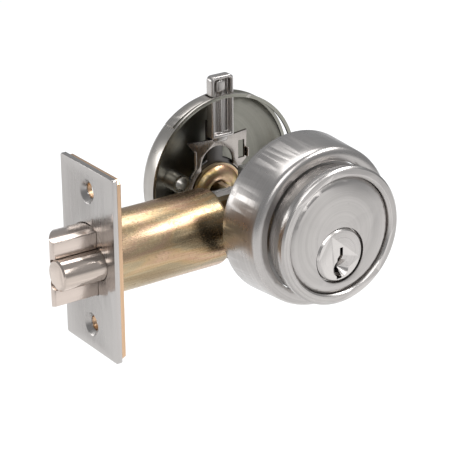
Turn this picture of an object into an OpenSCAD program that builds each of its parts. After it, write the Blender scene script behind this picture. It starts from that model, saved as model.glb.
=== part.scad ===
// Tubular latch lock for a door: outside key cylinder, latch unit and inside turn.
// +X runs away from the faceplate, +Y is toward the room, +Z is up. Units are mm.
// The origin is on the latch axis, where the cylinder and turn axis crosses it.

/* [Door fit] */
// Faceplate front to turn axis
backset = 60.325; // [57:0.1:70]
// Thickness of the door
door_thickness = 34.925; // [33:0.1:45]
// Latch projection from the faceplate
latch_projection = 14.3; // [10:0.1:17]
// Height of the trim centre above the latch axis
trim_rise = 6; // [4:0.5:7]

/* [Faceplate] */
// Height of the faceplate
plate_height = 57.15; // [50:0.5:65]
// Width of the faceplate
plate_width = 28.575; // [25:0.5:32]
// Thickness of the front plate
plate_thickness = 1.6; // [1.2:0.1:2.5]
// Distance between the two screw holes
plate_hole_spacing = 42; // [38:0.5:46]

/* [Latch] */
// Outside radius of the latch tube
tube_radius = 11.9; // [10.5:0.1:13]
// Wall thickness of the latch tube
tube_wall = 0.95; // [0.8:0.05:1.3]
// Radius of the deadlocking plunger
plunger_radius = 4.7; // [3.5:0.1:5]
// Diameter of the latch spring wire
latch_wire = 0.9; // [0.6:0.1:1.2]

/* [Outside cylinder] */
// How far the trim ring stands out past the cylinder head
trim_overhang = 4.3; // [3:0.1:8]
// Depth of the trim ring
trim_depth = 15.5; // [12:0.5:20]
// Radius of the cylinder head at its front lip
head_radius = 21.1; // [19:0.1:24]
// Depth of the cylinder from its front to the door
head_depth = 23.6; // [20:0.2:30]
// Width of the head's lip around the face disc
lip_width = 3.3; // [2:0.1:5]
// Radius of the plug's front
plug_radius = 8.1; // [6:0.1:8.5]
// Number of pin chambers
pin_count = 5; // [4:1:6]

/* [Inside turn] */
// Outside radius of the inside rose
rose_radius = 26.9; // [25:0.1:32]
// Depth of the inside rose
rose_depth = 13; // [11:0.5:18]
// Width of the turn lever
lever_width = 8.2; // [6:0.2:10]
// Height of the lever's tip above the turn axis
lever_reach = 38.8; // [34:0.2:46]
// Angle that the turn swings through
turn_angle = 75; // [45:1:80]

/* [Hidden] */
$fn = 96;
eps = 0.01;
run_gap = 0.05;
slide_gap = 0.15;
air_gap = 0.3;
seat_gap = 0.02;

plate_front = -backset;
back_plate_front = plate_front + plate_thickness + seat_gap;
back_plate_thickness = 1.5;
back_plate_rear = back_plate_front + back_plate_thickness;
back_plate_inset = 0.5;
door_half = door_thickness / 2;

tube_bore = tube_radius - tube_wall;
tube_end = -17.6;
tube_lip = 0.8;
lip_bore = tube_bore - tube_lip;
latch_radius = tube_bore - slide_gap;
latch_front = plate_front - latch_projection;
latch_rear = plate_front + 23.3;
latch_travel = latch_projection - 0.6;
plunger_edge = 0.9;
plunger_axis = plunger_radius + plunger_edge - latch_radius;
latch_flat = plunger_axis + 0.6;
groove_radius = plunger_radius + slide_gap;
plunger_set_back = 0.4;
key_rise = 0.45;
key_half = 1.4;
plunger_front = latch_front + plunger_set_back;
plunger_travel = latch_travel - plunger_set_back - 0.4;
nose_flat = 1.9;
nose_radius = 1.6;
bevel_start = 52;
bevel_end = 29;
collar_rear = tube_end - 2.8;
collar_thickness = 1.5;
collar_front = collar_rear - collar_thickness;

crank_back = 10;
crank_radius = latch_travel / (sin(crank_back) + sin(turn_angle - crank_back));
crank_pin_radius = 1.5;
crank_pin_x = -crank_radius * sin(crank_back);
crank_pin_z = crank_radius * cos(crank_back);
crank_lead = crank_radius * (sin(crank_back) + sin(turn_angle / 2 - crank_back)) - latch_travel / 2;
crank_arm_inner = 2.8;
crank_arm_outer = 4;
hub_radius = 4.7;
hub_stand = 0.8;
blade_thick = 1.8;
blade_width = 6.6;
blade_gap = 0.12;

strap_half = 2.4;
strap_high = sqrt(lip_bore * lip_bore - strap_half * strap_half) - slide_gap;
strap_low = strap_high - 1.6;
strap_lap = 7;
tail_rivet_radius = 0.9;
pin_room = 0.25;
yoke_left = crank_pin_x - crank_pin_radius - pin_room;
yoke_right = crank_pin_x + crank_pin_radius + crank_lead + pin_room;
yoke_finger = 2;
yoke_low = hub_radius + 0.25;
yoke_window_top = crank_radius + crank_pin_radius + 0.3;
yoke_high = yoke_window_top + 1.4;

case_inner = 4.3;
case_outer = 5.5;
case_top = 7.6;
case_neck = 2.7;
case_left = collar_rear + seat_gap;
case_right = 12.8;
case_low = -9.6;
case_step = -17.2;
case_shoulder = sqrt(lip_bore * lip_bore - case_outer * case_outer) - 0.1;
rivet_radius = 1.3;
rivet_shoulder = 0.7;
rivet_places = [[-18.4, 1.2], [4.6, -7.5], [8.5, -3.6]];
dog_pin_radius = 1.2;
dog_pin_x = -8.4;
dog_pin_z = -7.2;

bolt_x = 13.4;
bolt_z = 5.2;
bolt_clear = 2.1;
bolt_thread = 1.75;
thread_depth = 13;
screw_clear = 2.2;
sink_flare = 1.6;
sink_depth = 1.3;

coil_gap = 0.2;
bore_rim = 0.8;
bore_web = 2.45;
latch_bore_radius = (latch_radius - plunger_axis - groove_radius - bore_web - bore_rim) / 2;
spring_y = latch_radius - bore_rim - latch_bore_radius;
spring_radius = latch_bore_radius - latch_wire / 2 - coil_gap;
latch_bore_end = latch_rear - 14;
stem_near = plunger_axis + 1.8;
stem_far = plunger_axis + 3.3;
stem_low = -3.2;
stem_high = -1.9;
stem_spring_y = plunger_axis - 1.1;
stem_spring_radius = 2;
stem_wire = 0.6;
plunger_rear = latch_rear - 0.5;
plunger_bore_end = plunger_rear - 16;
plunger_bore_radius = stem_spring_radius + stem_wire / 2 + 0.15;

trim_radius = head_radius + trim_overhang;
face_radius = head_radius - lip_width;
head_front = -door_half - head_depth;
head_body_radius = head_radius - 0.9;
lip_depth = 2.4;
trim_front = -door_half - trim_depth;
trim_bore = head_body_radius + air_gap;
trim_wall = 1.3;
face_thickness = 1.8;
face_recess = 0.4;
plug_front = head_front + face_recess;
plug_flange = 3;
plug_ring_gap = 0.45;
plug_chamfer = 0.5;
key_cone = 2.8;
key_cone_z = key_cone + 1.2 - plug_radius;
plug_body_radius = plug_radius - 1.5;
plug_rear = -door_half - 2.7;
tail_cap_radius = plug_body_radius + 0.9;
tail_cap_thickness = 2.5;
tail_disc_radius = 5;
tail_disc_thickness = 1;
pin_radius = 1.45;
pin_pitch = 3.35;
pin_first = plug_front + plug_flange + 2.3;
driver_length = 3.6;
chamber_top = 18;
cover_thickness = 1;
cover_half = 2.2;
key_gap = 1.2;
keyway_top = plug_body_radius - 4.2;
keyway_bottom = 0.9 - plug_radius;

wall = 1.1;
rim_bridge = 0.85;
rose_rim = door_half;
rose_wall_depth = 6;
lever_front = rose_rim + rim_bridge + air_gap;
lever_depth = 3.2;
lever_wall = 1.1;
lever_floor = 1.4;
lever_root = 18.8;
slot_lead = asin((lever_width / 2 + air_gap) / (trim_rise + rose_radius - wall));
slot_tail = asin((lever_width / 2 + air_gap) / sqrt(pow(rose_radius - wall, 2) - pow(trim_rise, 2)));
band_end = 43;
band_rise = 0.7;
star_front = lever_front + lever_depth + air_gap;
star_thickness = 0.8;
star_disc = 11.6;
star_hole = 9.7;
star_tip_x = 11.4;
star_tip_z = 18.2;
star_window_z = 9;
star_window_radius = 6;
star_waist_x = 7.6;
star_waist_z = 11.6;
star_right_x = 11.2;
star_slot_width = 2.2;
star_slot_rim = 0.9;
star_slot_low = 9.2;
star_slot_high = 15;
ring_front = star_front + star_thickness + air_gap;
ring_thickness = 1.3;
ring_radius = 10.8;
neck_low = norm([star_tip_x, star_tip_z]) + air_gap;
neck_high = neck_low + 1.7;
neck_half = 3;
hub_front = rose_rim + 2.9;
hub_face_radius = 9.2;
hub_barrel_radius = 6;
hub_shoulder = ring_front - 0.1;
hub_floor = 0.9;
washer_radius = 9;
washer_thickness = 0.4;
washer_front = ring_front + ring_thickness + 0.1;
hub_rear = rose_rim + rose_depth - wall - 1;
post_front = rose_rim + 4.6;
post_radius = 3;

module along_x(start, length) {
    translate([start, 0, 0]) rotate([0, 90, 0]) linear_extrude(length) children();
}

// Turned profile drawn as [radius, y] and spun about the Y axis.
module turned_y() {
    rotate([-90, 0, 0]) rotate_extrude() children();
}

module rod_y(radius, from, to) {
    translate([0, from, 0]) rotate([-90, 0, 0]) cylinder(r = radius, h = to - from);
}

module rod_x(radius, from, to) {
    translate([from, 0, 0]) rotate([0, 90, 0]) cylinder(r = radius, h = to - from);
}

module slab_y(from, to) {
    translate([0, to, 0]) rotate([90, 0, 0]) linear_extrude(to - from) children();
}

module block(x0, x1, y0, y1, z0, z1) {
    translate([x0, y0, z0]) cube([x1 - x0, y1 - y0, z1 - z0]);
}

// Compression spring along +X from the origin, one closed sweep of the wire.
module coil_spring(length, radius, wire, turns) {
    sides = 6;
    steps = 14;
    count = turns * steps;
    rise = (length - wire) / count;
    points = [for (i = [0:count]) for (j = [0:sides - 1])
        let (a = 360 * i / steps, b = 360 * j / sides, r = radius + wire / 2 * cos(b))
            [wire / 2 + i * rise + wire / 2 * sin(b), r * cos(a), r * sin(a)]];
    walls = [for (i = [0:count - 1]) for (j = [0:sides - 1])
        let (k = (j + 1) % sides)
            [i * sides + j, i * sides + k, (i + 1) * sides + k, (i + 1) * sides + j]];
    first = [for (j = [sides - 1:-1:0]) j];
    last = [for (j = [0:sides - 1]) count * sides + j];
    polyhedron(points, concat([first], walls, [last]), convexity = 8);
}

// ---- Latch unit ----

// Satin faceplate with the D-shaped latch opening and two countersunk holes.
module faceplate() {
    color([0.66, 0.64, 0.62])
    difference() {
        plate_blank(plate_front, plate_thickness, plate_height, plate_width, 0.5);
        latch_opening(plate_front - 1, plate_thickness + 2, slide_gap);
        for (side = [-1, 1]) translate([0, 0, side * plate_hole_spacing / 2]) {
            rod_x(screw_clear, plate_front - 1, plate_front + plate_thickness + 1);
            translate([plate_front - eps, 0, 0]) rotate([0, 90, 0])
                cylinder(r1 = screw_clear + sink_flare, r2 = screw_clear, h = sink_depth);
        }
    }
}

module plate_blank(start, thickness, height, width, corner) {
    along_x(start, thickness) difference() {
        square([height, width], center = true);
        for (a = [-1, 1]) for (b = [-1, 1])
            translate([a * height / 2, b * width / 2]) rotate(45)
                square([corner * 1.4, corner * 1.4], center = true);
    }
}

// Outline of the latch and its plunger, as the faceplate's opening.
module latch_opening(start, length, gap) {
    intersection() {
        rod_x(latch_radius + gap, start, start + length);
        block(start - 1, start + length + 1, latch_flat - gap, tube_radius, -tube_radius, tube_radius);
    }
    translate([0, plunger_axis, 0]) rod_x(plunger_radius + gap, start, start + length);
}

// Plain steel plate behind the faceplate, which the tube is pressed into.
module backing_plate() {
    inset = 2 * back_plate_inset;
    color([0.72, 0.56, 0.36])
    difference() {
        plate_blank(back_plate_front, back_plate_thickness, plate_height - inset, plate_width - inset, 1.4);
        rod_x(tube_radius + seat_gap, back_plate_front - 1, back_plate_rear + 1);
        for (side = [-1, 1]) translate([0, 0, side * plate_hole_spacing / 2])
            rod_x(screw_clear, back_plate_front - 1, back_plate_rear + 1);
    }
}

// Rolled tube with a rounded far end.
module bolt_tube() {
    color([0.72, 0.6, 0.36])
    rotate([0, 90, 0]) rotate_extrude() polygon([
        [tube_bore, back_plate_front], [tube_radius, back_plate_front],
        [tube_radius, tube_end - 1.6], [tube_radius - 0.3, tube_end - 0.5],
        [tube_radius - 0.9, tube_end], [tube_bore - tube_lip, tube_end],
        [tube_bore - tube_lip, tube_end - 0.9], [tube_bore, tube_end - 1.3]]);
}

// Bevelled spring latch with the plunger's groove, the spring's bore and the strap's pocket.
module latch_bolt() {
    color([0.74, 0.67, 0.6])
    difference() {
        intersection() {
            rod_x(latch_radius, latch_front, latch_rear);
            latch_nose();
        }
        translate([0, plunger_axis, 0]) rod_x(groove_radius, latch_front - 1, latch_rear + 1);
        translate([0, spring_y, 0]) rod_x(latch_bore_radius, latch_bore_end, latch_rear + 1);
        block(latch_rear - strap_lap, latch_rear + 1, -strap_half - seat_gap, strap_half + seat_gap,
            strap_low - seat_gap, tube_radius);
    }
}

// Plan outline of the nose: a narrow flat, a rounded corner and a slightly crowned bevel.
module latch_nose() {
    flat_end = latch_flat + nose_flat;
    corner = [for (a = [0:12:90 - bevel_start])
        [latch_front + nose_radius * (1 - cos(a)), flat_end + nose_radius * sin(a)]];
    start = corner[len(corner) - 1];
    run = plate_front - 0.6 - start[0];
    rise = latch_radius + 0.4 - start[1];
    turn = (bevel_start - bevel_end) / 2;
    crown = norm([run, rise]) / (2 * sin(turn));
    middle = atan2(rise, run);
    bevel = [for (i = [1:8]) let (a = middle + turn - i * turn / 4)
        start + crown * [sin(middle + turn) - sin(a), cos(a) - cos(middle + turn)]];
    translate([0, 0, -tube_radius]) linear_extrude(2 * tube_radius) polygon(concat(
        [[latch_rear + 1, latch_flat], [latch_front + 0.4, latch_flat], [latch_front, latch_flat + 0.4]],
        corner, bevel, [[latch_rear + 1, latch_radius + 0.4]]));
}

// Strap from the latch to the yoke that the crank pin drives.
module latch_tail() {
    tail_front = latch_rear - strap_lap + seat_gap;
    color([0.62, 0.62, 0.6])
    difference() {
        union() {
            block(tail_front, yoke_left, -strap_half, strap_half, strap_low, strap_high);
            block(yoke_left - yoke_finger, yoke_right + yoke_finger, -strap_half, strap_half,
                yoke_low, yoke_high);
        }
        block(yoke_left, yoke_right, -strap_half - 1, strap_half + 1, yoke_low - 1, yoke_window_top);
        translate([latch_rear - strap_lap / 2, 0, 0])
            cylinder(r = tail_rivet_radius + seat_gap, h = strap_high + 1);
    }
}

// Rivet that holds the strap in the latch.
module tail_rivet() {
    color([0.7, 0.7, 0.68])
    translate([latch_rear - strap_lap / 2, 0, strap_low])
        cylinder(r = tail_rivet_radius, h = strap_high - strap_low);
}

// Round deadlocking plunger with a stem, a key along its side and the spring's bore.
module deadlocking_plunger() {
    stem_rear = case_left + 0.6;
    color([0.74, 0.68, 0.62]) {
        difference() {
            union() {
                translate([0, plunger_axis, 0]) {
                    rod_x(plunger_radius, plunger_front + 0.5, plunger_rear);
                    translate([plunger_front, 0, 0]) rotate([0, 90, 0])
                        cylinder(r1 = plunger_radius - 0.5, r2 = plunger_radius, h = 0.5 + eps);
                }
                block(back_plate_rear + air_gap, plunger_rear, plunger_axis - plunger_radius - key_rise,
                    plunger_axis - plunger_radius + 1, -key_half, key_half);
            }
            translate([0, stem_spring_y, 0])
                rod_x(plunger_bore_radius, plunger_bore_end, plunger_rear + 1);
        }
        block(plunger_rear - 1, stem_rear, stem_near, stem_far, stem_low, stem_high);
    }
}

module latch_spring() {
    color([0.6, 0.6, 0.62])
    translate([latch_bore_end + seat_gap, spring_y, 0])
        coil_spring(collar_front - latch_bore_end - 2 * seat_gap, spring_radius, latch_wire, 13);
}

module plunger_spring() {
    color([0.6, 0.6, 0.62])
    translate([plunger_bore_end + seat_gap, stem_spring_y, 0])
        coil_spring(collar_front - plunger_bore_end - 2 * seat_gap, stem_spring_radius, stem_wire, 16);
}

// Disc near the tube's end that both springs push against.
module spring_collar() {
    color([0.6, 0.58, 0.52])
    difference() {
        rod_x(tube_bore - seat_gap, collar_front, collar_rear);
        block(collar_front - 1, collar_rear + 1, -strap_half - air_gap, strap_half + air_gap,
            strap_low - air_gap, tube_radius);
        block(collar_front - 1, collar_rear + 1, stem_near - air_gap, stem_far + air_gap,
            stem_low - air_gap, stem_high + air_gap);
    }
}

module case_outline() {
    polygon([
        [case_left, -case_shoulder], [case_step, -case_shoulder], [case_step + 2, case_low],
        [8.5, case_low], [10.6, -7.5], [10.6, -2.6], [case_right, -0.6],
        [case_right, case_top - 3], [case_right - 3, case_top], [-8.5, case_top],
        [-10.6, case_top - 2.2], [-10.6, case_neck], [case_step, case_neck],
        [case_step, case_shoulder], [case_left, case_shoulder]]);
}

module case_plate(from, to) {
    difference() {
        slab_y(from, to) case_outline();
        rod_y(hub_radius + run_gap, from - 1, to + 1);
        for (p = rivet_places) translate([p[0], 0, p[1]]) rod_y(rivet_radius + seat_gap, from - 1, to + 1);
        translate([dog_pin_x, 0, dog_pin_z]) rod_y(dog_pin_radius + seat_gap, from - 1, to + 1);
    }
}

module case_plate_outer() {
    color([0.7, 0.6, 0.4]) case_plate(-case_outer, -case_inner);
}

module case_plate_inner() {
    color([0.7, 0.6, 0.4]) case_plate(case_inner, case_outer);
}

module case_rivets() {
    color([0.66, 0.64, 0.6])
    for (p = rivet_places) translate([p[0], 0, p[1]]) {
        rod_y(rivet_radius, -case_outer, case_outer);
        rod_y(rivet_radius + rivet_shoulder, -case_inner + seat_gap, case_inner - seat_gap);
    }
}

// Crank hub: a slotted barrel, two arms and the pin between them.
module crank_hub() {
    color([0.72, 0.66, 0.5])
    difference() {
        union() {
            rod_y(hub_radius, -case_outer - hub_stand, case_outer + hub_stand);
            crank_arm(-crank_arm_outer, -crank_arm_inner);
            crank_arm(crank_arm_inner, crank_arm_outer);
            translate([crank_pin_x, 0, crank_pin_z])
                rod_y(crank_pin_radius, -crank_arm_outer, crank_arm_outer);
        }
        blade_slot(-case_outer - 2, case_outer + 2);
    }
}

module crank_arm(from, to) {
    tip = crank_pin_radius + 0.8;
    root = hub_radius - 0.6;
    slab_y(from, to) rotate(crank_back)
        polygon([[-root, 0], [root, 0], [tip - 0.2, crank_radius], [-tip + 0.2, crank_radius]]);
    translate([crank_pin_x, 0, crank_pin_z]) rod_y(tip, from, to);
}

module blade_slot(from, to) {
    half_thick = blade_thick / 2 + blade_gap;
    half_width = blade_width / 2 + blade_gap;
    block(-half_thick, half_thick, from, to, -half_width, half_width);
}

// Lever inside the case that the plunger's stem works.
module deadlock_dog() {
    arm_left = case_left + 1;
    color([0.62, 0.6, 0.56])
    difference() {
        slab_y(-2.9, 1.9) polygon([
            [arm_left, -4.6], [dog_pin_x + 1, -4.6], [dog_pin_x + 2.4, -6],
            [dog_pin_x + 2.4, -8.4], [dog_pin_x - 1, -9.2], [arm_left, -6.4]]);
        translate([dog_pin_x, 0, dog_pin_z]) rod_y(dog_pin_radius + run_gap, -case_inner, case_inner);
    }
}

module dog_pin() {
    color([0.66, 0.64, 0.6])
    translate([dog_pin_x, 0, dog_pin_z]) rod_y(dog_pin_radius, -case_outer, case_outer);
}

// ---- Outside cylinder ----

// Free-turning tapered ring around the cylinder.
module trim_ring() {
    color([0.64, 0.62, 0.6])
    translate([0, 0, trim_rise]) turned_y() polygon([
        [trim_radius - trim_wall, -door_half], [trim_radius, -door_half],
        [trim_radius - 0.8, trim_front + 2.2], [trim_radius - 1.1, trim_front + 1.2],
        [trim_radius - 1.7, trim_front + 0.45], [trim_radius - 2.5, trim_front + 0.1],
        [trim_radius - 3.1, trim_front], [trim_bore, trim_front],
        [trim_bore, trim_front + trim_wall], [trim_radius - 2.8, trim_front + trim_wall + 0.1],
        [trim_radius - 2.1, trim_front + 2.6]]);
}

// Die-cast cylinder body with the plug bore, the pin chambers and two threaded lugs.
module cylinder_body() {
    lip_rear = head_front + lip_depth;
    seat = head_front + face_thickness + 0.6;
    color([0.6, 0.58, 0.56])
    difference() {
        translate([0, 0, trim_rise]) turned_y() polygon([
            [0, seat], [face_radius + 0.1, seat],
            [face_radius + 0.1, head_front + 0.5], [face_radius + 0.6, head_front],
            [head_radius - 0.6, head_front], [head_radius, head_front + 0.6],
            [head_radius, lip_rear], [head_body_radius, lip_rear + 1],
            [head_body_radius, -door_half], [0, -door_half]]);
        rod_y(plug_body_radius + run_gap, head_front - 1, -door_half + 1);
        rod_y(plug_radius + run_gap, head_front - 1, plug_front + plug_flange + run_gap);
        rod_y(tail_cap_radius + air_gap, plug_rear - run_gap, -door_half + 1);
        for (i = [0:pin_count - 1]) translate([0, pin_first + i * pin_pitch, 0])
            cylinder(r = pin_radius + run_gap, h = chamber_top);
        block(-cover_half - seat_gap, cover_half + seat_gap, pin_first - 2.2, -door_half + 1,
            chamber_top, chamber_top + cover_thickness + seat_gap);
        for (side = [-1, 1]) translate([side * bolt_x, 0, -side * bolt_z])
            rod_y(bolt_thread, -door_half - thread_depth, -door_half + 1);
    }
}

// Face disc pressed into the head around the plug.
module face_disc() {
    color([0.7, 0.68, 0.66])
    difference() {
        translate([0, 0, trim_rise]) turned_y() polygon([
            [0, head_front + face_recess], [face_radius - 1.3, head_front + face_recess],
            [face_radius, head_front + face_recess + 0.8],
            [face_radius, head_front + face_thickness + 0.6 - seat_gap],
            [0, head_front + face_thickness + 0.6 - seat_gap]]);
        rod_y(plug_radius + plug_ring_gap, head_front - 1, head_front + face_thickness + 1);
    }
}

// Keyway: a narrow upper slot that steps down to the left into a wider lower one.
module keyway_section() {
    w = key_gap;
    polygon([
        [-w * 0.1, keyway_top], [w * 0.8, keyway_top], [w * 0.8, keyway_top - 2.6],
        [w * 0.1, keyway_top - 3.8], [w * 0.1, keyway_top - 5], [w * 0.5, keyway_top - 6],
        [w * 0.5, keyway_bottom], [-w, keyway_bottom], [-w, keyway_top - 5.4],
        [-w * 0.8, keyway_top - 3.2], [-w * 0.1, keyway_top - 2.2]]);
}

module plug() {
    color([0.72, 0.7, 0.68])
    difference() {
        union() {
            rod_y(plug_radius, plug_front + plug_chamfer, plug_front + plug_flange);
            translate([0, plug_front, 0]) rotate([-90, 0, 0])
                cylinder(r1 = plug_radius - plug_chamfer, r2 = plug_radius, h = plug_chamfer + eps);
            rod_y(plug_body_radius, plug_front + plug_flange - 1, plug_rear);
        }
        slab_y(plug_front - 1, plug_rear - 2) keyway_section();
        translate([0.4, plug_front - eps, key_cone_z]) rotate([-90, 0, 0])
            cylinder(r1 = key_cone, r2 = 0, h = key_cone);
        for (i = [0:pin_count - 1]) translate([0, pin_first + i * pin_pitch, 0])
            cylinder(r = pin_radius + run_gap, h = plug_body_radius + 1);
    }
}

// One bottom pin in each chamber, at the height that its own key lifts it to.
module bottom_pins() {
    top = plug_body_radius - 0.15;
    color([0.78, 0.62, 0.32])
    for (i = [0:pin_count - 1]) translate([0, pin_first + i * pin_pitch, 0]) {
        length = 3.6 + 0.6 * (i % 3);
        translate([0, 0, top - length + 0.8]) cylinder(r = pin_radius, h = length - 0.8);
        translate([0, 0, top - length]) cylinder(r1 = 0.5, r2 = pin_radius, h = 0.8 + eps);
    }
}

module driver_pins() {
    color([0.75, 0.74, 0.7])
    for (i = [0:pin_count - 1])
        translate([0, pin_first + i * pin_pitch, plug_body_radius + 0.15])
            cylinder(r = pin_radius, h = driver_length);
}

module pin_springs() {
    low = plug_body_radius + 0.15 + driver_length + seat_gap;
    color([0.6, 0.6, 0.62])
    for (i = [0:pin_count - 1])
        translate([0, pin_first + i * pin_pitch, low]) rotate([0, -90, 0])
            coil_spring(chamber_top - low - seat_gap, pin_radius - 0.3, 0.35, 6);
}

module chamber_cover() {
    color([0.75, 0.66, 0.4])
    block(-cover_half, cover_half, pin_first - 2.1, -door_half,
        chamber_top + seat_gap / 2, chamber_top + cover_thickness);
}

// Cap on the plug's rear that keeps the tailpiece in place.
module tail_cap() {
    color([0.66, 0.64, 0.6])
    difference() {
        rod_y(tail_cap_radius, plug_rear + seat_gap, plug_rear + tail_cap_thickness);
        rod_y(tail_disc_radius + slide_gap, plug_rear - 1, plug_rear + tail_disc_thickness + 2 * slide_gap);
        rod_y(blade_width / 2 + 0.5, plug_rear - 1, plug_rear + tail_cap_thickness + 1);
    }
}

// Flat blade that joins the cylinder, the crank hub and the inside turn.
module tailpiece() {
    disc_front = plug_rear + slide_gap;
    color([0.68, 0.66, 0.62]) {
        rod_y(tail_disc_radius, disc_front, disc_front + tail_disc_thickness);
        block(-blade_thick / 2, blade_thick / 2, disc_front, hub_rear - hub_floor - air_gap,
            -blade_width / 2, blade_width / 2);
    }
}

// ---- Inside turn ----

module rose_outline(inset) {
    r = rose_radius - inset;
    back = rose_rim + rose_depth - inset;
    front = rose_rim - inset;
    polygon([
        [0, front], [r, front],
        [r, rose_rim + rose_wall_depth - 0.8], [r - 1.1, rose_rim + rose_wall_depth + 1.2 - inset / 2],
        [r - 3.6, back - 3.6], [r - 7, back - 2.1], [r - 13, back - 0.7], [r - 19, back], [0, back]]);
}

// Pressed rose, open toward the door, with a slot in its wall for the lever and two posts.
module inside_rose() {
    slot_depth = lever_depth + 2 * air_gap;
    color([0.62, 0.6, 0.57])
    difference() {
        union() {
            translate([0, 0, trim_rise]) difference() {
                union() {
                    turned_y() rose_outline(0);
                    stop_band();
                }
                turned_y() rose_outline(wall);
            }
            intersection() {
                translate([0, 0, trim_rise]) turned_y() rose_outline(wall / 2);
                for (side = [-1, 1]) translate([side * bolt_x, 0, -side * bolt_z])
                    rod_y(post_radius, post_front, rose_rim + rose_depth);
            }
        }
        for (side = [-1, 1]) translate([side * bolt_x, 0, -side * bolt_z])
            rod_y(bolt_clear, post_front - 1, rose_rim + rose_depth + 1);
        slab_y(lever_front - air_gap, lever_front - air_gap + slot_depth) swing_sector();
    }
}

// Thicker stretch of the wall beside the lever's upright stop, fading out toward it.
module stop_band() {
    outer = [for (i = [0:12]) let (a = slot_lead + i * (band_end - slot_lead) / 12)
        (rose_radius + band_rise * i / 12) * [-sin(a), cos(a)]];
    inner = [for (i = [12:-1:0]) let (a = slot_lead + i * (band_end - slot_lead) / 12)
        (rose_radius - wall / 2) * [-sin(a), cos(a)]];
    slab_y(rose_rim + rim_bridge, rose_rim + rose_wall_depth - 1) polygon(concat(outer, inner));
}

// Sector of the wall that the lever sweeps, seen along the turn axis.
module swing_sector() {
    near = 19;
    far = 60;
    steps = 30;
    sweep = turn_angle + slot_lead + slot_tail;
    outer = [for (i = [0:steps]) let (a = i * sweep / steps - slot_lead) far * [sin(a), cos(a)]];
    inner = [for (i = [steps:-1:0]) let (a = i * sweep / steps - slot_lead) near * [sin(a), cos(a)]];
    polygon(concat(outer, inner));
}

// Hollow lever, open toward the door, with a rib down its middle and a ring at its root.
module turn_lever() {
    back = lever_front + lever_depth;
    ring_rear = ring_front + ring_thickness;
    color([0.66, 0.64, 0.61]) {
        difference() {
            slab_y(lever_front, back) lever_outline(lever_width, lever_root, lever_reach, 1.6);
            slab_y(lever_front - 1, back - lever_floor)
                lever_outline(lever_width - 2 * lever_wall, lever_root + lever_wall,
                    lever_reach - lever_wall, 0.9);
        }
        slab_y(lever_front + 0.9, back - lever_floor + eps)
            translate([-0.6, lever_root + 0.4]) square([1.2, lever_reach - lever_root - 1]);
        block(-neck_half, neck_half, back - lever_floor, ring_rear, neck_low, neck_high);
        difference() {
            union() {
                rod_y(ring_radius, ring_front, ring_rear);
                block(-neck_half, neck_half, ring_front, ring_rear, 0, neck_high);
            }
            rod_y(hub_barrel_radius + seat_gap, ring_front - 1, ring_rear + 1);
        }
    }
}

module lever_outline(width, low, high, corner) {
    half = width / 2;
    translate([-half, low]) square([width, high - low - corner]);
    translate([-half + corner, low]) square([width - 2 * corner, high - low]);
    for (side = [-1, 1]) translate([side * (half - corner), high - corner]) circle(r = corner);
}

// Stamped plate that keeps the turn in the rose, with four pointed corners.
module star_plate() {
    slot_right = star_right_x - star_slot_rim;
    color([0.64, 0.62, 0.6])
    difference() {
        union() {
            rod_y(star_disc, star_front, star_front + star_thickness);
            slab_y(star_front, star_front + star_thickness) polygon([
                [-star_waist_x, star_waist_z - 3], [-star_waist_x, star_waist_z],
                [-star_waist_x - 0.9, star_waist_z + 3], [-star_tip_x, star_tip_z],
                [-star_tip_x / 2, star_tip_z - 0.6], [0, star_tip_z - 0.8],
                [star_tip_x / 2, star_tip_z - 0.6], [star_tip_x, star_tip_z],
                [star_right_x, star_tip_z - 3], [star_right_x, star_waist_z - 3],
                [star_waist_x, star_waist_z - 6]]);
        }
        rod_y(star_hole, star_front - 1, ring_front);
        translate([0, 0, star_window_z]) rod_y(star_window_radius, star_front - 1, ring_front);
        for (side = [-1, 1]) translate([side * bolt_x, 0, -side * bolt_z])
            rod_y(post_radius + seat_gap, star_front - 1, ring_front);
        block(slot_right - star_slot_width, slot_right, star_front - 1, ring_front,
            star_slot_low, star_slot_high);
    }
}

// Yellow-plated hub that the lever turns and the tailpiece sits in.
module turn_hub() {
    color([0.78, 0.62, 0.34])
    difference() {
        turned_y() polygon([
            [3.4, hub_front + 1], [4.6, hub_front + 0.7], [6.6, hub_front], [hub_face_radius - 0.6, hub_front],
            [hub_face_radius, hub_front + 0.6], [hub_face_radius, hub_shoulder - air_gap],
            [hub_barrel_radius, hub_shoulder], [hub_barrel_radius, hub_rear], [0, hub_rear],
            [0, hub_front + 1.6], [2.2, hub_front + 1.6]]);
        blade_slot(hub_front - 1, hub_rear - hub_floor);
    }
}

// Thin spring washer between the lever's ring and the rose.
module turn_washer() {
    color([0.68, 0.68, 0.66])
    difference() {
        rod_y(washer_radius, washer_front, washer_front + washer_thickness);
        rod_y(hub_barrel_radius + air_gap, washer_front - 1, washer_front + 1);
    }
}

faceplate();
backing_plate();
bolt_tube();
latch_bolt();
latch_tail();
tail_rivet();
deadlocking_plunger();
latch_spring();
plunger_spring();
spring_collar();
case_plate_outer();
case_plate_inner();
case_rivets();
crank_hub();
deadlock_dog();
dog_pin();
trim_ring();
cylinder_body();
face_disc();
plug();
bottom_pins();
driver_pins();
pin_springs();
chamber_cover();
tail_cap();
tailpiece();
inside_rose();
turn_lever();
star_plate();
turn_hub();
turn_washer();
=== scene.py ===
import math

import bmesh
import bpy
from mathutils import Matrix, Vector


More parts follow.
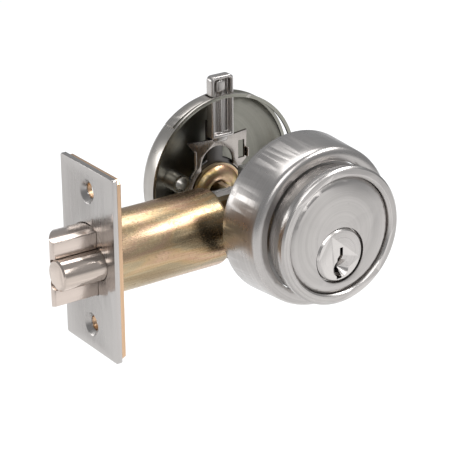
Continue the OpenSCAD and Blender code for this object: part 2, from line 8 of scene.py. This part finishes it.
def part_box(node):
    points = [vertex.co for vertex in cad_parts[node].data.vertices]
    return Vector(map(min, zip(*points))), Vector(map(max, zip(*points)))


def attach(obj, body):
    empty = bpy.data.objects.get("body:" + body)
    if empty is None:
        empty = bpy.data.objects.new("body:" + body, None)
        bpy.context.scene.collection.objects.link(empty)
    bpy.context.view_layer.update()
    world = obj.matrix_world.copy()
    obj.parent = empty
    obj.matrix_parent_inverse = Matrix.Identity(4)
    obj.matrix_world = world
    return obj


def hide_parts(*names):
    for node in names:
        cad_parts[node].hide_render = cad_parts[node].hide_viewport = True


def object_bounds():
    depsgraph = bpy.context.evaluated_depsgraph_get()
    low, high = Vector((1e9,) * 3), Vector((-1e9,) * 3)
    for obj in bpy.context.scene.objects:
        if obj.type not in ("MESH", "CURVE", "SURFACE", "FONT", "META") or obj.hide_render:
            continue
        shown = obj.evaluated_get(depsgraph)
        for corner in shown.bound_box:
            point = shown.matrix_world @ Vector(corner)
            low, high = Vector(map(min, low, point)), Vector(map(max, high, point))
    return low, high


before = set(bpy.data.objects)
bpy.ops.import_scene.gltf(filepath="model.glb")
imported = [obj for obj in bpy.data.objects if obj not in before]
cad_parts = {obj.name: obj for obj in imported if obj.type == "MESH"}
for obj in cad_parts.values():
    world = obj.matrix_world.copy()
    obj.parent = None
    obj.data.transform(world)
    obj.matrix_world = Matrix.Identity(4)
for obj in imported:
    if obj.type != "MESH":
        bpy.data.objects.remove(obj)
cad_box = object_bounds()
MM = 0.001
MERGE = 0.002 * MM


# ---- Faceplate ----
# Stamped plate, satin nickel plated and brushed from end to end, with two countersunk holes.
# Its sharp edges are tumbled round. Two screws hold it in the door's edge.
class Level:
    """A number that varies over a surface, which can be used in plain sums."""

    def __init__(self, finish, socket):
        self.finish = finish
        self.socket = socket

    def sum(self, operation, first, second):
        return self.finish.add("Math", {"operation": operation}, {0: first, 1: second})

    def __add__(self, other):
        return self.sum("ADD", self, other)

    def __sub__(self, other):
        return self.sum("SUBTRACT", self, other)

    def __rsub__(self, other):
        return self.sum("SUBTRACT", other, self)

    def __mul__(self, other):
        return self.sum("MULTIPLY", self, other)

    def __pow__(self, other):
        return self.sum("POWER", self, other)

    __radd__ = __add__
    __rmul__ = __mul__

    def ramp(self, low, high):
        """0 below low, 1 above high, and a smooth step between."""
        return self.finish.add("MapRange", {"interpolation_type": "SMOOTHSTEP"},
                               {"Value": self, "From Min": low, "From Max": high})


class Finish:
    """A metal finish: one material, with one method that adds any node to it."""

    def __init__(self, name, roughness, metallic=1.0):
        self.material = bpy.data.materials.new(name)
        self.material.use_nodes = True
        self.tree = self.material.node_tree
        self.shader = self.tree.nodes["Principled BSDF"]
        self.shader.inputs["Roughness"].default_value = roughness
        self.shader.inputs["Metallic"].default_value = metallic

    def add(self, kind, settings, sockets, out=0):
        """The Level at one output of a new node, whose settings are set before its sockets."""
        node = self.tree.nodes.new("ShaderNode" + kind)
        for key, value in settings.items():
            if key == "stops":
                ramp = node.color_ramp
                while len(ramp.elements) < len(value):
                    ramp.elements.new(0.5)
                for element, (place, colour) in zip(ramp.elements, value):
                    element.position = place
                    element.color = (*colour, 1.0)
            else:
                setattr(node, key, value)
        for key, value in sockets.items():
            self.feed(node.inputs[key], value)
        return Level(self, node.outputs[out])

    def feed(self, socket, value):
        if isinstance(value, Level):
            self.tree.links.new(value.socket, socket)
        elif hasattr(value, "__len__") and len(value) == 3 and socket.type == "RGBA":
            socket.default_value = (*value, 1.0)
        else:
            socket.default_value = value

    def place(self, stretch=(1.0, 1.0, 1.0), centre=(0.0, 0.0, 0.0)):
        """Object coordinates measured from a centre, stretched along each axis."""
        spot = self.add("TexCoord", {}, {}, out="Object")
        shifted = self.add("VectorMath", {"operation": "SUBTRACT"}, {0: spot, 1: centre})
        return self.add("VectorMath", {"operation": "MULTIPLY"}, {0: shifted, 1: stretch})

    def noise(self, where, scale, detail=3.0, rough=0.5, warp=0.0):
        return self.add("TexNoise", {}, {"Vector": where, "Scale": scale, "Detail": detail,
                                         "Roughness": rough, "Distortion": warp})

    def mix(self, share, first, second):
        """Two colours, with that share of the second."""
        mixed = self.add("Mix", {"data_type": "RGBA"}, {"Factor": share}, out=2)
        inputs = mixed.socket.node.inputs
        self.feed(inputs[6], first)
        self.feed(inputs[7], second)
        return mixed

    def edges(self, low=0.512, high=0.56):
        """1 along outside corners, where handling polishes the plating and where brushed metal gets
        a painted highlight.
        """
        return self.add("NewGeometry", {}, {}, out="Pointiness").ramp(low, high)

    def bump(self, height, depth, strength=1.0):
        normal = self.add("Bump", {}, {"Height": height, "Distance": depth, "Strength": strength})
        self.feed(self.shader.inputs["Normal"], normal)

    def surface(self, colour, roughness):
        self.feed(self.shader.inputs["Base Color"], colour)
        self.feed(self.shader.inputs["Roughness"], roughness)
        return self.material


def shade(colour, share):
    """A colour made lighter or darker by a share."""
    return tuple(min(1.0, c * share) for c in colour)


NICKEL = (0.42, 0.4, 0.385)
GRAIN_DEPTH = 0.02 * MM
# Brushing marks per metre: across the fine and the wide ones, and along them.
FINE_TURNED, WIDE_TURNED = 2600.0, 520.0
FINE_STRAIGHT, ALONG_STRAIGHT, WIDE_SHARE = 1900, 40, 0.22


def brushed(name, colour, roughness, along, centre=(0, 0, 0), streak=0.16, edge_wear_and_highlight=0.5,
            painted_shade_from=None):
    """Satin plated metal. along is x, y or z for straight brushing, or ring for turning marks.
    Past the depth painted_shade_from the colour is darkened as painted shade."""
    f = Finish(name, roughness)
    if along == "ring":
        spot = f.place(centre=centre)
        x = f.add("SeparateXYZ", {}, {0: spot}, out="X")
        y = f.add("SeparateXYZ", {}, {0: spot}, out="Y")
        z = f.add("SeparateXYZ", {}, {0: spot}, out="Z")
        radius = (x * x + z * z) ** 0.5
        fine_place = f.add("CombineXYZ", {}, {"X": radius * FINE_TURNED, "Y": y * FINE_TURNED,
                                              "Z": x * 25.0 + z * 18.0})
        wide_place = f.add("CombineXYZ", {}, {"X": radius * WIDE_TURNED, "Y": y * WIDE_TURNED,
                                              "Z": x * 14.0})
    else:
        stretch = [ALONG_STRAIGHT if axis == along else FINE_STRAIGHT for axis in "xyz"]
        fine_place = f.place(stretch, centre)
        wide_place = f.place([s * WIDE_SHARE for s in stretch], centre)
    grain = f.noise(fine_place, 1.0, 4.0, 0.6)
    wide = f.noise(wide_place, 1.0, 2.0)
    cloud = f.noise(f.place(centre=centre), 95.0, 3.0, 0.55, 0.4)
    spots = f.noise(f.place(centre=centre), 900.0, 2.0, 0.6).ramp(0.68, 0.78)
    tone = grain * 0.45 + wide * 0.3 + cloud * 0.25
    level = tone.ramp(0.35, 0.65)
    body = f.mix(level, shade(colour, 1 - streak), shade(colour, 1 + streak))
    dulled = f.mix(spots * 0.25, body, shade(colour, 0.55))
    # Outside corners are lightened: partly plating polished by handling, partly a painted
    # highlight.
    corners = f.edges()
    bright = f.mix(corners * edge_wear_and_highlight, dulled, shade(colour, 1.45))
    f.bump(grain, GRAIN_DEPTH, 0.25)
    # Painted shade: past that depth the colour darkens, where the piece lies in shadow behind the
    # star plate.
    if painted_shade_from:
        depth = f.add("SeparateXYZ", {}, {0: f.place()}, out="Y")
        bright = f.mix(depth.ramp(painted_shade_from, painted_shade_from + 0.6 * MM), bright, shade(colour, 0.3))
    return f.surface(bright, roughness - level * 0.06 + cloud * 0.08 - corners * 0.08)


def softened(node, width=0.15 * MM, sharp=32.0, segments=2):
    """A mesh of a CAD piece with its doubles merged. Edges over sharp degrees are rounded."""
    bm = bmesh.new()
    bm.from_mesh(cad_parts[node].data)
    bmesh.ops.remove_doubles(bm, verts=bm.verts, dist=MERGE)
    bmesh.ops.dissolve_limit(bm, angle_limit=math.radians(0.6), verts=bm.verts, edges=bm.edges)
    turn = math.radians(sharp)
    edges = [e for e in bm.edges if len(e.link_faces) == 2 and e.calc_face_angle() > turn]
    bmesh.ops.bevel(bm, geom=edges, offset=width, segments=segments, affect="EDGES",
                    profile=0.5, material=-1, clamp_overlap=True)
    return bm


def finished(name, bm, node, body, material, crease=28.0, painted_shade_lining=None):
    """The mesh becomes a piece that stands for its CAD node and rides on its body."""
    mesh = bpy.data.meshes.new(name)
    bm.to_mesh(mesh)
    bm.free()
    mesh.shade_smooth()
    mesh.set_sharp_from_angle(angle=math.radians(crease))
    mesh.materials.append(material)
    if painted_shade_lining:
        mesh.materials.append(painted_shade_lining)
    piece = bpy.data.objects.new(name, mesh)
    bpy.context.scene.collection.objects.link(piece)
    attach(piece, body)
    if node:
        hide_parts(node)
    return piece


def refinish(node, material):
    """A CAD piece keeps its shape and gets a worked finish."""
    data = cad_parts[node].data
    data.materials.clear()
    data.materials.append(material)


finished("front_plate", softened("faceplate", 0.22 * MM), "faceplate", "lock_body",
         brushed("satin_faceplate", shade(NICKEL, 0.88), 0.28, "z", streak=0.06))

# ---- Backing plate ----
# Plain steel plate, tan plated, with the tube pressed into it. It lies behind the faceplate,
# and only its edge shows.
finished("back_plate", softened("backing_plate", 0.15 * MM), "backing_plate", "lock_body",
         brushed("tan_plating", (0.5, 0.34, 0.22), 0.42, "z", streak=0.22))


# ---- Latch tube ----
# Rolled steel tube, yellow dichromate plated, so its colour drifts between gold, green and
# pink along the tube. It is pressed into the backing plate and its far end is rolled in.
def dichromate(name, roughness, gold=(0.36, 0.225, 0.105), along="x"):
    """Yellow dichromate on steel, with drawing lines along x or y and dark stains in patches."""
    f = Finish(name, roughness)
    stretch = {"x": (0.25, 1.0, 1.0), "y": (1.0, 0.4, 1.0)}[along]
    drift = f.noise(f.place(stretch), 140.0, 3.0, 0.55, 0.8)
    brown, green = shade(gold, 0.5), (0.26, 0.2, 0.12)
    pink, pale = (0.42, 0.24, 0.16), (0.46, 0.33, 0.18)
    film = f.add("ValToRGB", {"stops": [(0.3, brown), (0.43, green), (0.5, gold), (0.6, pink),
                                       (0.72, pale)]}, {"Fac": drift})
    lines = f.noise(f.place([36 if axis == along else 1800 for axis in "xyz"]), 1.0, 3.0)
    patch = f.noise(f.place((0.5, 1, 1)), 90.0, 2.0).ramp(0.4, 0.62)
    stain = f.noise(f.place(), 1100.0, 4.0, 0.7).ramp(0.5, 0.66) * (patch * 0.8 + 0.2)
    toned = f.mix(stain * 0.6, film, (0.12, 0.08, 0.04))
    streaked = f.mix(lines.ramp(0.4, 0.65) * 0.28, toned, (0.6, 0.48, 0.3))
    worn = f.mix(f.edges() * 0.6, streaked, (0.6, 0.5, 0.34))
    f.bump(lines + stain * 0.4, GRAIN_DEPTH, 0.4)
    return f.surface(worn, roughness + stain * 0.18 - lines * 0.08)


finished("latch_tube", softened("bolt_tube", 0.2 * MM), "bolt_tube", "lock_body",
         dichromate("tube_plating", 0.31))

# ---- Latch bolt ----
# Sintered and plated latch with a bevelled nose, warm in tone, polished by the strike along
# its bevel. It slides in the tube with its flat side toward the plunger.
finished("latch_nose", softened("latch_bolt", 0.3 * MM), "latch_bolt", "latch",
         brushed("latch_metal", (0.5, 0.43, 0.385), 0.28, "x", streak=0.08))

# ---- Deadlocking plunger ----
# Turned rod, plated like the latch. It slides in the latch's groove, and its own spring
# pushes it out beside the latch.
finished("latch_plunger", softened("deadlocking_plunger", 0.35 * MM), "deadlocking_plunger",
         "plunger",
         brushed("plunger_metal", (0.5, 0.43, 0.38), 0.22, "x", streak=0.08))

# ---- Latch tail, springs and case ----
# Strap, rivets, springs and case plates inside the door: plain zinc, drawn wire and
# dichromate pressings, mostly hidden, which keep the shape of their frame pieces.
zinc = brushed("zinc_steel", (0.42, 0.415, 0.41), 0.36, "x", streak=0.2)
wire = brushed("spring_steel", (0.36, 0.36, 0.37), 0.25, "x", streak=0.1)
case_plating = dichromate("case_plating", 0.34)
for node in ("latch_tail", "tail_rivet", "spring_collar", "case_rivets", "deadlock_dog", "dog_pin"):
    refinish(node, zinc)
for node in ("latch_spring", "plunger_spring", "pin_springs"):
    refinish(node, wire)
for node in ("case_plate_outer", "case_plate_inner", "crank_hub"):
    refinish(node, case_plating)

# ---- Outside cylinder ----
# Die-cast body with a bevelled lip round its face, satin nickel, brushed round its axis.
# The plug's bore lies below its centre. Two bolts hold it from the other side of the door.
low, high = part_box("cylinder_body")
HEAD = Vector(((low.x + high.x) / 2, low.y, (low.z + high.z) / 2))
finished("cylinder_head", softened("cylinder_body", 0.3 * MM), "cylinder_body", "lock_body",
         brushed("satin_head", NICKEL, 0.27, "ring", HEAD))
finished("head_disc", softened("face_disc", 0.2 * MM), "face_disc", "lock_body",
         brushed("satin_disc", shade(NICKEL, 0.98), 0.33, "ring", HEAD, streak=0.08))

# ---- Plug ----
# Brass plug, nickel plated, with its keyway broached through it and a cone at its mouth.
finished("key_plug", softened("plug", 0.15 * MM), "plug", "plug_unit",
         brushed("satin_plug", shade(NICKEL, 1.08), 0.26, "ring", streak=0.1))

# ---- Pins, cover and cap ----
# Turned brass pins in their chambers, a brass strip pressed in over the chambers, and the
# cap behind the plug. All of them are inside the cylinder.
brass = brushed("turned_brass", (0.62, 0.46, 0.2), 0.3, "ring", streak=0.15)
for node in ("bottom_pins", "driver_pins", "chamber_cover", "tail_cap"):
    refinish(node, brass)

# ---- Trim ring ----
# Spun steel ring that turns freely round the cylinder so a wrench can't grip it. It is
# brushed round its axis and nickel plated, with a rolled shoulder at its front.
finished("spinning_ring", softened("trim_ring", 0.2 * MM, sharp=40), "trim_ring", "trim",
         brushed("satin_ring", shade(NICKEL, 0.96), 0.3, "ring", HEAD, streak=0.1))

# ---- Tailpiece ----
# Flat stamped steel blade. It runs from behind the plug's cap through the latch's hub into
# the turn's hub, and carries the turn to the latch.
refinish("tailpiece", zinc)

# ---- Inside rose ----
# Deep pressed shell, nickel plated, painted darker inside as shade, with two posts for the bolts.
# Its rim lies on the door's room side, and a slot in its wall lets the lever through.
low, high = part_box("inside_rose")
ROSE = Vector((0, low.y, HEAD.z))
bm = softened("inside_rose", 0.2 * MM)
# Faces turned toward the rose's axis take the second, darker material: painted shade inside the
# shell.
for face in bm.faces:
    if face.normal.dot(face.calc_center_median() - ROSE) < 0:
        face.material_index = 1
finished("rose_shell", bm, "inside_rose", "lock_body",
         brushed("satin_rose", (0.37, 0.35, 0.325), 0.34, "ring", ROSE, streak=0.1),
         painted_shade_lining=brushed("rose_inside_shade", (0.24, 0.235, 0.205), 0.3, "ring", ROSE, streak=0.06))

# ---- Star plate ----
# Thin stamped steel plate with four pointed corners, which keeps the turn in the rose. A
# tab and a curl are bent out of it.
stamped = brushed("stamped_steel", (0.31, 0.285, 0.265), 0.28, "z", streak=0.1)
finished("star_keeper", softened("star_plate", 0.15 * MM), "star_plate", "lock_body",
         stamped)


def bar(low, high, rounding, segments=4):
    """A block between two corners with all its edges rounded."""
    bm = bmesh.new()
    bmesh.ops.create_cube(bm, size=1.0)
    low, high = Vector(low), Vector(high)
    bmesh.ops.scale(bm, vec=high - low, verts=bm.verts)
    bmesh.ops.translate(bm, vec=(low + high) / 2, verts=bm.verts)
    bmesh.ops.bevel(bm, geom=bm.edges[:], offset=rounding, segments=segments, affect="EDGES",
                    profile=0.5, material=-1, clamp_overlap=True)
    return bm


low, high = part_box("star_plate")
tab_foot, tab_top = 9.4 * MM, 12.6 * MM
finished("star_tab", bar((high.x - 1.1 * MM, low.y - 1.5 * MM, tab_foot),
                         (high.x - 0.4 * MM, low.y + 0.4 * MM, tab_top), 0.3 * MM),
         None, "lock_body", stamped)
curl_radius, curl_length = 0.45 * MM, 6.2 * MM
curl_foot = Vector((low.x + 3.3 * MM, low.y - 0.35 * MM, 8.8 * MM))
bm = bmesh.new()
bmesh.ops.create_circle(bm, cap_ends=True, radius=curl_radius, segments=20,
                        matrix=Matrix.Translation(curl_foot))
rail = bmesh.ops.extrude_face_region(bm, geom=bm.faces[:])
ends = [v for v in rail["geom"] if isinstance(v, bmesh.types.BMVert)]
bmesh.ops.translate(bm, vec=(-0.1 * MM, 0, curl_length), verts=ends)
bmesh.ops.bevel(bm, geom=[e for e in bm.edges if e.calc_face_angle(0) > 1.2], offset=0.2 * MM,
                segments=3, affect="EDGES", profile=0.5, material=-1, clamp_overlap=True)
bmesh.ops.recalc_face_normals(bm, faces=bm.faces)
finished("star_curl", bm, None, "lock_body", stamped)

# ---- Turn lever ----
# Die-cast lever, nickel plated, hollow on its door side, with a rib down its middle. The ring
# at its root turns round the hub. It is polished outside, with painted shade past the star plate.
lever_metal = brushed("satin_lever", NICKEL, 0.32, "z", streak=0.08, edge_wear_and_highlight=0.25, painted_shade_from=low.y)
finished("turn_grip", softened("turn_lever", 0.45 * MM, segments=3), "turn_lever", "turn",
         lever_metal)
low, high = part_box("turn_lever")
tongue_half, tongue_foot, tongue_top = 2.5 * MM, 16.95 * MM, 19.6 * MM
finished("lever_tongue", bar((-tongue_half, low.y + 0.5 * MM, tongue_foot),
                             (tongue_half, low.y + 2.9 * MM, tongue_top), 1.1 * MM, 6),
         None, "turn", lever_metal)
boss_half = 1.7 * MM
finished("lever_boss", bar((-boss_half, low.y + 0.75 * MM, high.z - 5.4 * MM),
                           (boss_half, low.y + 2.2 * MM, high.z - 1.7 * MM), 0.7 * MM, 6),
         None, "turn", lever_metal)

# ---- Turn hub and washer ----
# Turned hub, dichromate plated, with a rolled mouth for the tailpiece. It turns with the
# lever, and a thin spring washer lies behind the lever's ring.
low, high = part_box("turn_hub")
rim, barrel, mouth, mouth_depth = (high.x - low.x) / 2 / MM, 6.0, 3.5, 5.2
# Radius and depth behind the front of each point, in mm
profile = [(0, mouth_depth), (mouth, mouth_depth), (mouth, 1.1), (4.1, 0.4), (5.1, 0.02),
           (6.4, 0.15), (7.7, 0.8), (8.3, 1.5), (rim, 1.6), (rim, 2.5), (barrel, 2.8),
           (barrel, (high.y - low.y) / MM), (0, (high.y - low.y) / MM)]
bm = bmesh.new()
points = [bm.verts.new((radius * MM, low.y + depth * MM, 0)) for radius, depth in profile]
edges = [bm.edges.new(pair) for pair in zip(points, points[1:])]
bmesh.ops.spin(bm, geom=points + edges, cent=(0, 0, 0), axis=(0, 1, 0), angle=math.tau,
               steps=96, use_merge=True, use_duplicate=False)
bmesh.ops.remove_doubles(bm, verts=bm.verts, dist=MERGE)
bmesh.ops.recalc_face_normals(bm, faces=bm.faces)
finished("hub_barrel", bm, "turn_hub", "turn",
         dichromate("hub_plating", 0.34, (0.5, 0.36, 0.14), "y"), crease=40)
refinish("turn_washer", zinc)

# ---- Camera ----
# It stands off the latch side of the outside face, a little above the lock.
turn = (Matrix.Rotation(math.radians(-34.53), 3, "Z")
        @ Matrix.Rotation(math.radians(67.33), 3, "X")
        @ Matrix.Rotation(math.radians(-0.5), 3, "Z"))
stand = turn @ Vector((-0.01024, -0.00387, 0.61044))
camera = bpy.data.objects.new("camera", bpy.data.cameras.new("camera"))
bpy.context.scene.collection.objects.link(camera)
camera.matrix_world = Matrix.Translation(stand) @ turn.to_4x4()
camera.data.sensor_width = 36
camera.data.lens = 159.968
camera.data.clip_start = 0.01
bpy.context.scene.camera = camera

# ---- Floor ----
# Wide pale matt sheet. The lock is held well above it, so its shadow spreads out softly.
floor_drop, floor_half = 0.12, 6.0
floor_mesh = bpy.data.meshes.new("floor")
bm = bmesh.new()
bmesh.ops.create_grid(bm, x_segments=1, y_segments=1, size=floor_half,
                      matrix=Matrix.Translation((0, 0, cad_box[0][2] - floor_drop)))
bm.to_mesh(floor_mesh)
bm.free()
floor = bpy.data.objects.new("floor", floor_mesh)
bpy.context.scene.collection.objects.link(floor)
matt = Finish("pale_floor", 0.9, 0.0)
cloud = matt.noise(matt.place(), 6.0)
matt.surface(matt.mix(cloud, (0.9, 0.9, 0.9), (0.93, 0.93, 0.93)), 0.9)
floor_mesh.materials.append(matt.material)


# ---- Studio light ----
# Large soft boxes in a pale room: one draws the bright streak along the round pieces, one
# stands for the ceiling, and two fill from the latch's side and from the front.
def softbox(name, place, size, power):
    """A rectangular lamp that faces the lock."""
    lamp = bpy.data.lights.new(name, "AREA")
    lamp.shape = "RECTANGLE"
    lamp.size, lamp.size_y = size
    lamp.energy = power
    box = bpy.data.objects.new(name, lamp)
    bpy.context.scene.collection.objects.link(box)
    aim = (-Vector(place)).to_track_quat("-Z", "Y")
    box.matrix_world = Matrix.Translation(place) @ aim.to_matrix().to_4x4()


softbox("streak_box", (0.72, -0.44, 1.0), (1.0, 0.2), 9)
softbox("sky_box", (0.1, 0.5, 1.6), (1.4, 0.9), 17)
softbox("left_box", (-1.15, 1.3, 0.3), (0.8, 0.5), 5)
softbox("front_box", (-0.3, -1.2, 0.9), (0.8, 0.7), 6)
world = bpy.data.worlds.new("studio")
bpy.context.scene.world = world
world.use_nodes = True
background = world.node_tree.nodes["Background"]
background.inputs["Color"].default_value = (0.95, 0.97, 1.0, 1.0)
background.inputs["Strength"].default_value = 0.42
bpy.context.scene.view_settings.view_transform = "Standard"
